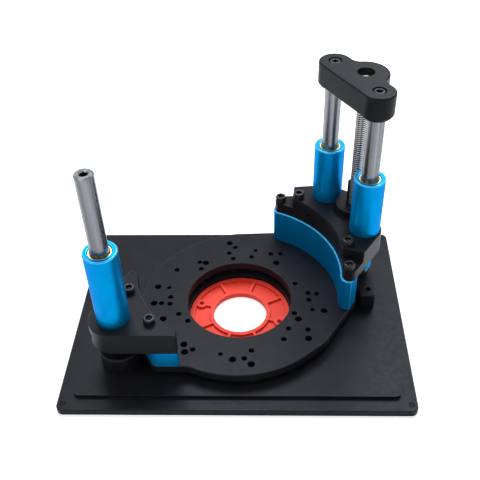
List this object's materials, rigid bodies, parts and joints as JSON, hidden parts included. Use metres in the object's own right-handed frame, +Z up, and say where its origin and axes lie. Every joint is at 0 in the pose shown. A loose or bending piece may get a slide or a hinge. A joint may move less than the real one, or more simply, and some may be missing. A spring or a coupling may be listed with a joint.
{
  "type": "router lift",
  "caption": "Router lift shown work face down: insert plate with twist-out ring, carriage plate on guide posts, raised by a lead screw under a yoke.",
  "frame": {"origin": "centre of the insert plate on its work face, which is the face that the lift lies on", "axes": "+X along the insert plate's length, +Y along its width to the rear, +Z up, away from the work face"},
  "size_m": [0.305, 0.229, 0.222],
  "materials": {
    "black_anodised": "satin black anodised",
    "blue_anodised": "satin blue anodised",
    "ground_chrome": "ground and chromed",
    "bright_steel": "rolled bright",
    "bush_bronze": "turned",
    "black_steel": "black oxide",
    "coral_plastic": "moulded, satin"
  },
  "bodies": {
    "base": {"insert_plate": "black_anodised", "left_foot": "black_anodised", "right_foot": "black_anodised", "foot_screws": "black_steel", "post_screws": "black_steel", "left_shaft": "ground_chrome", "rear_shaft": "ground_chrome", "front_shaft": "ground_chrome", "yoke": "black_anodised", "yoke_screws": "black_steel", "yoke_bush": "bush_bronze", "foot_bush": "bush_bronze"},
    "carriage": {"carriage_plate": "black_anodised", "arc_bracket": "blue_anodised", "bridge_block": "black_anodised", "bridge_screws": "black_steel", "left_spacer": "blue_anodised", "left_block": "black_anodised", "left_block_screws": "black_steel", "clamp_screws": "black_steel", "left_tube": "blue_anodised", "rear_tube": "blue_anodised", "front_tube": "blue_anodised", "left_bush_lower": "bush_bronze", "left_bush_upper": "bush_bronze", "rear_bush_lower": "bush_bronze", "rear_bush_upper": "bush_bronze", "front_bush_lower": "bush_bronze", "front_bush_upper": "bush_bronze", "lead_nut": "black_anodised", "nut_screws": "black_steel"},
    "screw": {"lead_screw": "bright_steel", "thrust_collar": "black_steel"},
    "ring": {"insert_ring": "coral_plastic"},
    "leveling_front_left": {"leveling_screw_front_left": "black_steel"},
    "leveling_front_right": {"leveling_screw_front_right": "black_steel"},
    "leveling_rear_left": {"leveling_screw_rear_left": "black_steel"},
    "leveling_rear_right": {"leveling_screw_rear_right": "black_steel"}
  },
  "joints": [
    {"name": "carriage_lift", "type": "slide", "parent": "base", "child": "carriage", "axis": [0, 0, 1], "range_m": [-0.006, 0.06]},
    {"name": "screw_spin", "type": "hinge", "parent": "base", "child": "screw", "pos_m": [0.1079, 0.06483, 0], "axis": [0, 0, 1], "range_deg": [-10801, 1081]},
    {"name": "ring_twist", "type": "hinge", "parent": "base", "child": "ring", "pos_m": [0, 0, 0.003], "axis": [0, 0, 1], "range_deg": [0, 20]},
    {"name": "level_front_left", "type": "slide", "parent": "base", "child": "leveling_front_left", "axis": [0, 0, 1], "range_m": [0, 0.002]},
    {"name": "level_front_right", "type": "slide", "parent": "base", "child": "leveling_front_right", "axis": [0, 0, 1], "range_m": [0, 0.002]},
    {"name": "level_rear_left", "type": "slide", "parent": "base", "child": "leveling_rear_left", "axis": [0, 0, 1], "range_m": [0, 0.002]},
    {"name": "level_rear_right", "type": "slide", "parent": "base", "child": "leveling_rear_right", "axis": [0, 0, 1], "range_m": [0, 0.002]}
  ],
  "couplings": [
    {"joint": "screw_spin", "follows": "carriage_lift", "rad_per_m": -3141.6}
  ]
}
